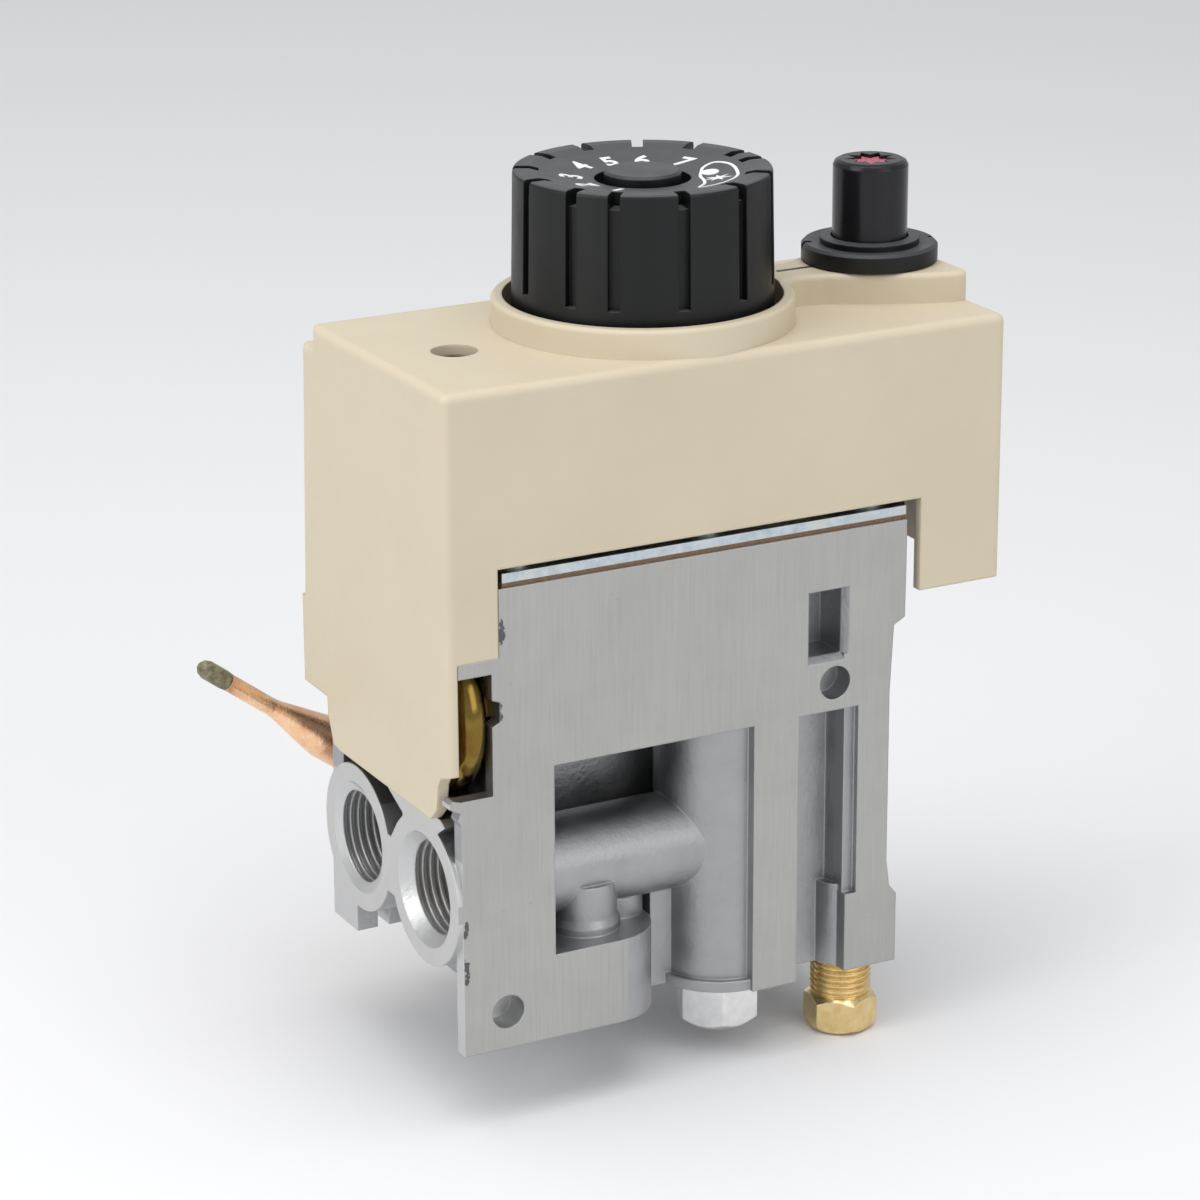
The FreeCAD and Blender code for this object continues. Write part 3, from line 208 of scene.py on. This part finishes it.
def cast_aluminium():
    """Smooth cast skin, with a streaky milled finish on the front and port faces; the port
    faces carry painted light and the sharp cast edges a painted highlight.
    """
    look = Shader("cast_aluminium", (0.6, 0.61, 0.62), 0.4, 1.0)
    x, y, z = look.axes()
    nx, ny, _ = look.facing()
    front = look.maths("MULTIPLY", look.maths("LESS_THAN", y, FRONT_FACE_MM),
                       look.maths("LESS_THAN", ny, SQUARE_ON))
    ports = look.maths("MULTIPLY", look.maths("LESS_THAN", x, PORT_FACE_MM),
                       look.maths("LESS_THAN", nx, SQUARE_ON))
    milled = look.maths("MAXIMUM", front, ports)

    streaks = look.noise((3.2, 3.2, 0.08), 4, 0.65)
    fine = look.noise((9, 9, 0.12), 2, 0.6)
    broad = look.noise((0.06, 0.06, 0.035), 3, 0.5)
    grain = look.noise((1.1, 1.1, 1.1), 4, 0.6)
    cloud = look.noise((0.16, 0.16, 0.16), 3, 0.5)
    pits = look.noise((3.1, 3.1, 3.1), 2, 0.7)

    streaky = look.maths("ADD", look.maths("MULTIPLY", streaks, 0.6),
                         look.maths("MULTIPLY", fine, 0.4))
    milled_tone = look.mix(look.fit(streaky, 0.36, 0.66, 0, 1), (0.432, 0.429, 0.417),
                           (0.485, 0.483, 0.47))
    milled_tone = look.mix(look.fit(broad, 0.35, 0.7, 0, 0.35), milled_tone,
                           (0.40, 0.395, 0.38))
    cast_tone = look.mix(look.fit(cloud, 0.35, 0.65, 0, 1), (0.365, 0.37, 0.378),
                         (0.42, 0.425, 0.433))
    cast_tone = look.mix(look.fit(pits, 0.66, 0.74, 0, 0.6), cast_tone, (0.25, 0.25, 0.255))
    # Painted highlight: the cast skin is painted lighter along its sharp edges and fillets.
    cast_tone = look.mix(look.edges(0.35, 0.6), cast_tone, (0.60, 0.605, 0.615))
    threads = look.maths("MULTIPLY", look.fit(x, 12, 11, 0, 0.7), look.fit(z, 8.6, 8.4, 0, 1))
    cast_tone = look.mix(threads, cast_tone, (0.68, 0.68, 0.675))
    # Painted light: the milled port faces, which look towards the left softbox, are painted
    # lighter than the milled front.
    milled_tone = look.mix(ports, milled_tone, (0.60, 0.60, 0.588))
    tone = look.mix(milled, cast_tone, milled_tone)

    ragged = look.noise((0.9, 0.9, 0.7), 5, 0.7)
    chips = look.patch(x, z, *CHIPS_MM[0], ragged)
    for centre, half in CHIPS_MM[1:]:
        chips = look.maths("MAXIMUM", chips, look.patch(x, z, centre, half, ragged))
    chips = look.maths("MULTIPLY", chips, front)
    scuffs = look.maths("MULTIPLY", front,
                        look.fit(look.noise((0.35, 0.35, 1.6), 5, 0.75), 0.68, 0.72, 0, 0.5))
    marks = look.maths("MAXIMUM", chips, scuffs)
    tone = look.mix(marks, tone, (0.13, 0.13, 0.135))
    look.feed("Base Color", tone)

    rough = look.mix(milled, (0.43, 0.43, 0.43), (0.47, 0.47, 0.47))
    gloss = look.maths("ADD", look.fit(cloud, 0.3, 0.7, -0.06, 0.07), rough)
    look.feed("Roughness", gloss)
    milled_height = look.maths("MULTIPLY", streaky, 0.35)
    cast_height = look.maths("ADD", look.maths("MULTIPLY", grain, 0.8),
                             look.maths("MULTIPLY", pits, -0.3))
    height = look.maths("ADD", look.maths("MULTIPLY", milled, milled_height),
                        look.maths("MULTIPLY", look.maths("SUBTRACT", 1, milled), cast_height))
    height = look.maths("SUBTRACT", height, look.maths("MULTIPLY", chips, 1.6))
    look.relief(height, 0.16, 0.6, 0.35)
    return look.material


def cover_plastic():
    """Warm beige moulded plastic with a fine grain."""
    look = Shader("cover_plastic", (0.61, 0.533, 0.395), 0.5,
                  Subsurface_Weight=0.06, Subsurface_Scale=0.002)
    grain = look.noise((6, 6, 6), 2, 0.5)
    cloud = look.noise((0.05, 0.05, 0.05), 3, 0.5)
    tone = look.mix(look.fit(cloud, 0.3, 0.7, 0, 1), (0.60, 0.523, 0.385),
                    (0.625, 0.548, 0.408))
    look.feed("Base Color", tone)
    look.feed("Roughness", look.fit(look.noise((0.4, 0.4, 0.4), 4), 0.3, 0.7, 0.44, 0.56))
    look.relief(grain, 0.02, 0.5, 0.5)
    return look.material


def black_plastic(name, colour, roughness, grain_mm, edge_mm=0.3, painted_top_sheen=None):
    """A black moulding; the last argument is a paler tone painted on faces that look up, a
    painted sheen for the bright surround they reflect.
    """
    look = Shader(name, colour, roughness, Specular_IOR_Level=0.34)
    grain = look.noise((7, 7, 7), 2, 0.5)
    smear = look.noise((0.25, 0.25, 0.12), 4, 0.6)
    dust = look.fit(look.noise((2.6, 2.6, 2.6), 3, 0.7), 0.7, 0.8, 0, 0.25)
    tone = look.mix(dust, colour, (0.05, 0.05, 0.052))
    if painted_top_sheen:
        # Painted sheen: faces that look up are painted paler, standing in for the reflection
        # of the bright surround.
        tone = look.mix(look.fit(look.facing()[2], 0.35, 0.95, 0, 1), tone, painted_top_sheen)
    look.feed("Base Color", tone)
    look.feed("Roughness", look.fit(smear, 0.3, 0.7, roughness - 0.05, roughness + 0.08))
    look.relief(grain, grain_mm, 0.6, edge_mm)
    return look.material


def plated(name, dark, light, roughness, grain=(0.5, 0.5, 0.5), edge_mm=0.15, tint=None):
    """A metal with cloudy plating, fine scratches and softly rounded edges."""
    look = Shader(name, light, roughness, 1.0)
    cloud = look.noise(grain, 4, 0.6)
    scratch = look.noise((6, 0.5, 6), 3, 0.7)
    tone = look.mix(look.fit(cloud, 0.3, 0.7, 0, 1), dark, light)
    if tint:
        stain = look.fit(look.noise((0.12, 0.12, 0.12), 3), 0.5, 0.7, 0, 0.6)
        tone = look.mix(stain, tone, tint)
    look.feed("Base Color", tone)
    look.feed("Roughness", look.fit(scratch, 0.3, 0.7, roughness - 0.06, roughness + 0.08))
    look.relief(scratch, 0.02, 0.4, edge_mm)
    return look.material


def fibre():
    """Brown pressed fibre."""
    look = Shader("gasket_fibre", (0.2, 0.13, 0.08), 0.85)
    strands = look.noise((2.5, 2.5, 6), 5, 0.7, 1.5)
    tone = look.mix(look.fit(strands, 0.35, 0.65, 0, 1), (0.10, 0.055, 0.03),
                    (0.30, 0.19, 0.11))
    look.feed("Base Color", tone)
    look.relief(strands, 0.12, 0.8)
    return look.material


def copper():
    """Drawn copper with heat tints towards the swaged end."""
    look = Shader("drawn_copper", (0.78, 0.42, 0.28), 0.28, 1.0)
    x, _, _ = look.axes()
    cloud = look.noise((0.35, 0.35, 0.35), 5, 0.6)
    lines = look.noise((3, 3, 0.6), 3, 0.6)
    tone = look.mix(look.fit(cloud, 0.35, 0.65, 0, 1), (0.92, 0.52, 0.31), (1.0, 0.71, 0.46))
    heat = look.maths("MULTIPLY", look.fit(x, -12, -15.5, 0, 1),
                      look.fit(look.noise((0.8, 0.8, 0.8), 4), 0.3, 0.6, 0.2, 1))
    look.feed("Base Color", look.mix(heat, tone, (0.30, 0.10, 0.06)))
    look.feed("Roughness", look.fit(lines, 0.3, 0.7, 0.2, 0.38))
    look.relief(lines, 0.04, 0.5)
    return look.material


def dull(name, dark, light, roughness, grain_mm=0.05, scale=1.5):
    """A mottled material that isn't metal."""
    look = Shader(name, light, roughness)
    mottled = look.noise((scale, scale, scale), 4, 0.65)
    look.feed("Base Color", look.mix(look.fit(mottled, 0.35, 0.65, 0, 1), dark, light))
    look.relief(mottled, grain_mm, 0.7, 0.1)
    return look.material


def dress_nodes():
    """Give every part the material of its slot."""
    # The knob's paler colour on upward faces is a painted sheen for the reflected surround.
    black = black_plastic("knob_black", (0.004, 0.0045, 0.005), 0.42, 0.012,
                          painted_top_sheen=(0.07, 0.072, 0.076))
    gloss = black_plastic("button_black", (0.010, 0.010, 0.012), 0.22, 0.006)
    zinc = plated("zinc_plate", (0.43, 0.50, 0.55), (0.63, 0.68, 0.72), 0.3,
                  tint=(0.72, 0.70, 0.60))
    steel = plated("bright_steel", (0.42, 0.42, 0.43), (0.62, 0.62, 0.63), 0.28)
    brass = plated("turned_brass", (0.76, 0.54, 0.23), (0.91, 0.74, 0.42), 0.22,
                   edge_mm=0.2)
    gold = plated("gold_chromate", (0.17, 0.10, 0.02), (0.31, 0.22, 0.058), 0.14,
                  grain=(0.15, 0.15, 0.15), edge_mm=0.3, tint=(0.16, 0.095, 0.015))
    silver = plated("turned_aluminium", (0.80, 0.80, 0.80), (0.93, 0.93, 0.93), 0.34,
                    edge_mm=0.3)
    reds = dull("symbol_red", (0.36, 0.05, 0.10), (0.58, 0.17, 0.22), 0.5, 0.02)
    rubber = dull("seal_rubber", (0.015, 0.015, 0.015), (0.03, 0.03, 0.03), 0.65)
    solder = dull("solder_seal", (0.10, 0.085, 0.04), (0.26, 0.24, 0.15), 0.45, 0.12, 0.9)
    ceramic = dull("fired_ceramic", (0.42, 0.37, 0.29), (0.55, 0.50, 0.42), 0.6)
    by_slot = {
        "cast_aluminium": cast_aluminium(), "cover_plastic": cover_plastic(),
        "black_satin": black, "black_gloss": gloss, "symbol_red": reds, "zinc_steel": zinc,
        "bright_steel": steel, "spring_steel": steel, "fibre_gasket": fibre(),
        "gold_chromate": gold, "bright_aluminium": silver, "brass": brass,
        "copper": copper(), "solder": solder, "rubber": rubber, "ceramic": ceramic,
    }
    for entry in frame["record"]["subparts"]:
        mesh = nodes[entry["node"]].data
        mesh.materials.clear()
        mesh.materials.append(by_slot[entry["material_slot"]])


# ---- printed marks -----------------------------------------------------------------------

PRINT_LIFT_MM = 0.03
PRINT_DEPTH_MM = 0.05
NUMERAL_RADII_MM = {"4": 11.2, "5": 10.6, "6": 10.4}
USUAL_RADIUS_MM = 10.9
NUMERAL_SIZE_MM = 5.0
NUMERAL_ANGLES = {"1": 222, "2": 190, "3": 157, "4": 119, "5": 90, "6": 62, "7": 26}


def dish_height(radius_mm):
    """Height of the knob's dished top at a radius."""
    corners = ((7.5, -1.7), (11, -1.3), (15, -0.6), (17.5, 0))
    for (r0, z0), (r1, z1) in zip(corners, corners[1:]):
        if radius_mm <= r1:
            return KNOB_TOP_MM + z0 + (z1 - z0) * (max(radius_mm, r0) - r0) / (r1 - r0)
    return KNOB_TOP_MM


def white_print():
    look = Shader("white_print", (0.86, 0.86, 0.86), 0.5)
    worn = look.noise((3, 3, 3), 4, 0.6)
    look.feed("Base Color", look.mix(look.fit(worn, 0.3, 0.7, 0, 1), (0.74, 0.74, 0.75),
                                     (0.92, 0.92, 0.92)))
    look.relief(worn, 0.02, 0.4)
    return look.material


def print_piece(name, corners_mm, faces, material, body):
    mesh = bpy.data.meshes.new(name)
    mesh.from_pydata([Vector(corner) * MM for corner in corners_mm], [], faces)
    mesh.materials.append(material)
    piece = bpy.data.objects.new(name, mesh)
    bpy.context.scene.collection.objects.link(piece)
    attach(piece, body)
    return piece


def mesh_of_curve(curve_object):
    """The mesh of a text or curve, with the object itself removed."""
    bpy.context.view_layer.update()
    depsgraph = bpy.context.evaluated_depsgraph_get()
    mesh = bpy.data.meshes.new_from_object(curve_object.evaluated_get(depsgraph))
    bpy.data.objects.remove(curve_object)
    return mesh


def lay_on_dish(mesh, angle, radius_mm):
    """Turn a flat mark about the knob's axis and drape it on the dished top."""
    turn = Matrix.Rotation(math.radians(angle - 90), 4, "Z")
    for vertex in mesh.vertices:
        flat = turn @ Vector((vertex.co.x, vertex.co.y + radius_mm, 0))
        surface = dish_height(math.hypot(flat.x, flat.y))
        top = PRINT_LIFT_MM + (PRINT_DEPTH_MM if vertex.co.z > 0 else -2 * PRINT_LIFT_MM)
        vertex.co = KNOB_AXIS + Vector((flat.x, flat.y, surface + top)) * MM


def numerals(material):
    for digit, angle in NUMERAL_ANGLES.items():
        text = bpy.data.curves.new("numeral_" + digit, "FONT")
        text.body = digit
        text.size = NUMERAL_SIZE_MM
        text.align_x = text.align_y = "CENTER"
        text.extrude = 0.5
        text.offset = 0.12
        text.resolution_u = 6
        holder = bpy.data.objects.new("numeral_" + digit, text)
        bpy.context.scene.collection.objects.link(holder)
        mesh = mesh_of_curve(holder)
        mesh.name = "numeral_" + digit
        lay_on_dish(mesh, angle, NUMERAL_RADII_MM.get(digit, USUAL_RADIUS_MM))
        mesh.materials.clear()
        mesh.materials.append(material)
        piece = bpy.data.objects.new("numeral_" + digit, mesh)
        bpy.context.scene.collection.objects.link(piece)
        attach(piece, "knob")


def smooth_loop(points, steps):
    """Points along a closed Catmull-Rom curve through the given points."""
    count = len(points)
    loop = []
    for i in range(count):
        before, start, end, after = (points[(i + k - 1) % count] for k in range(4))
        for step in range(steps):
            t = step / steps
            loop.append(tuple(
                0.5 * (2 * b + (c - a) * t + (2 * a - 5 * b + 4 * c - d) * t * t
                       + (3 * b - a - 3 * c + d) * t ** 3)
                for a, b, c, d in zip(before, start, end, after)))
    return loop


def dish_point(radius_mm, angle, lift_mm):
    radians = math.radians(angle)
    return (45.3 + radius_mm * math.cos(radians), radius_mm * math.sin(radians),
            dish_height(radius_mm) + lift_mm)


def flat_ring(name, inner, outer, material):
    """A closed printed band between two loops of (radius, angle) on the dished top."""
    count = len(inner)
    low, high = -PRINT_LIFT_MM, PRINT_LIFT_MM + PRINT_DEPTH_MM
    corners = [dish_point(*spot, lift) for lift in (low, high)
               for loop in (inner, outer) for spot in loop]
    faces = []
    for i in range(count):
        j = (i + 1) % count
        a, b, c, d = 0, count, 2 * count, 3 * count
        faces += [(a + i, a + j, b + j, b + i), (c + i, d + i, d + j, c + j),
                  (a + i, c + i, c + j, a + j), (b + i, b + j, d + j, d + i)]
    return print_piece(name, corners, faces, material, "knob")


def filled_mark(name, spots, material):
    """A closed printed patch with an outline of (radius, angle) spots."""
    count = len(spots)
    low, high = -PRINT_LIFT_MM, PRINT_LIFT_MM + PRINT_DEPTH_MM
    corners = [dish_point(*spot, lift) for lift in (low, high) for spot in spots]
    faces = [tuple(reversed(range(count))), tuple(range(count, 2 * count))]
    faces += [(i, (i + 1) % count, count + (i + 1) % count, count + i) for i in range(count)]
    return print_piece(name, corners, faces, material, "knob")


def grown(loop, amount_mm):
    """A loop of (radius, angle) moved outwards along its own normal."""
    flat = [(r * math.cos(math.radians(a)), r * math.sin(math.radians(a))) for r, a in loop]
    count = len(flat)
    moved = []
    for i in range(count):
        (x0, y0), (x1, y1) = flat[i - 1], flat[(i + 1) % count]
        length = math.hypot(x1 - x0, y1 - y0) or 1
        x = flat[i][0] + amount_mm * (y1 - y0) / length
        y = flat[i][1] - amount_mm * (x1 - x0) / length
        moved.append((math.hypot(x, y), math.degrees(math.atan2(y, x))))
    return moved


def off_marks(material):
    """The off dot and pilot star in their drop-shaped outline."""
    drop = smooth_loop([(14.0, -80), (11.1, -60), (8.9, -30), (10.2, -3), (12.9, 4),
                        (14.3, -6), (14.5, -28), (15.0, -50)], 6)
    flat_ring("off_outline", grown(drop, -0.25), grown(drop, 0.25), material)
    dot = []
    for n in range(20):
        turn = math.tau * n / 20
        dot.append((10.6 + 1.35 * math.cos(turn), -18.0 + 9.5 * math.sin(turn)))
    filled_mark("off_dot", dot, material)
    star = []
    centre = (11.9, -42.5)
    for n in range(14):
        size = 0.75 if n % 2 else 2.2
        turn = math.tau * n / 14
        star.append((centre[0] + size * math.cos(turn),
                     centre[1] + math.degrees(size * math.sin(turn) / centre[0])))
    filled_mark("pilot_star", star, material)


def index_line():
    """The dark line on the cover that the knob's marks are read against."""
    look = Shader("index_ink", (0.03, 0.03, 0.035), 0.5)
    worn = look.noise((2, 2, 2), 3)
    look.feed("Base Color", look.mix(worn, (0.02, 0.02, 0.022), (0.06, 0.06, 0.065)))
    low, high, half = PAD_TOP_MM - 0.03, PAD_TOP_MM + 0.05, 0.4
    spots = [(69.4, -half), (75.9, -half), (75.9, half), (69.4, half)]
    corners = [(x, y, z) for z in (low, high) for x, y in spots]
    faces = [(3, 2, 1, 0), (4, 5, 6, 7)] + [(i, (i + 1) % 4, 4 + (i + 1) % 4, 4 + i)
                                            for i in range(4)]
    print_piece("index_line", corners, faces, look.material, "valve")


# ---- room, light and camera --------------------------------------------------------------

def room():
    """A pale paper floor with painted light that brightens it towards the back, and an even
    pale surround.
    """
    size = FLOOR_HALF_WIDTH
    floor_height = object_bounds()[0][2] - FLOOR_GAP
    mesh = bpy.data.meshes.new("floor")
    mesh.from_pydata([(-size, -size, floor_height), (size, -size, floor_height),
                      (size, size, floor_height), (-size, size, floor_height)],
                     [], [(0, 1, 2, 3)])
    paper = Shader("floor_paper", (0.82, 0.825, 0.835), 0.75)
    _, depth, _ = paper.axes()
    # Painted light: the paper is painted lighter from 150 mm to 1300 mm behind, a painted
    # brightening of the far backdrop.
    paper.feed("Base Color", paper.mix(paper.fit(depth, 150, 1300, 0, 1),
                                       (0.81, 0.812, 0.825), (0.94, 0.94, 0.94)))
    mesh.materials.append(paper.material)
    floor = bpy.data.objects.new("floor", mesh)
    bpy.context.scene.collection.objects.link(floor)
    floor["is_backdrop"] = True

    world = bpy.data.worlds.new("room")
    bpy.context.scene.world = world
    world.use_nodes = True
    background = world.node_tree.nodes["Background"]
    background.inputs["Color"].default_value = (0.93, 0.94, 0.95, 1)
    background.inputs["Strength"].default_value = 0.6


def softbox(name, place, target, size, power):
    """A rectangular soft light aimed at a point."""
    light = bpy.data.lights.new(name, "AREA")
    light.shape = "RECTANGLE"
    light.size, light.size_y = size
    light.energy = power
    holder = bpy.data.objects.new(name, light)
    bpy.context.scene.collection.objects.link(holder)
    holder.location = place
    aim = Vector(target) - Vector(place)
    holder.rotation_euler = aim.to_track_quat("-Z", "Y").to_euler()


def lights():
    middle = (0.045, 0, 0.03)
    softbox("top_softbox", (-0.05, -0.1, 0.9), middle, (0.9, 0.7), 5.1)
    softbox("left_softbox", (-0.9, -0.15, 0.45), middle, (0.6, 0.8), 3.8)
    softbox("front_softbox", (0.35, -1.0, 0.45), middle, (0.7, 0.6), 2.0)


def camera():
    """The viewpoint: in front, to the left and above, with a long lens."""
    lens = bpy.data.cameras.new("camera")
    lens.sensor_width = 36
    lens.lens = 119.64
    lens.shift_x, lens.shift_y = 0.0189, -0.0430
    lens.clip_end = 20
    holder = bpy.data.objects.new("camera", lens)
    bpy.context.scene.collection.objects.link(holder)
    right = Vector(CAMERA_RIGHT)
    up = Vector(CAMERA_UP)
    back = -Vector(CAMERA_FORWARD)
    turn = Matrix((right, up, back)).transposed().to_4x4()
    holder.matrix_world = Matrix.Translation(Vector(CAMERA_PLACE_MM) * MM) @ turn
    bpy.context.scene.camera = holder


dress_nodes()
ink = white_print()
numerals(ink)
off_marks(ink)
index_line()
room()
lights()
camera()
bpy.context.scene.view_settings.view_transform = "Standard"
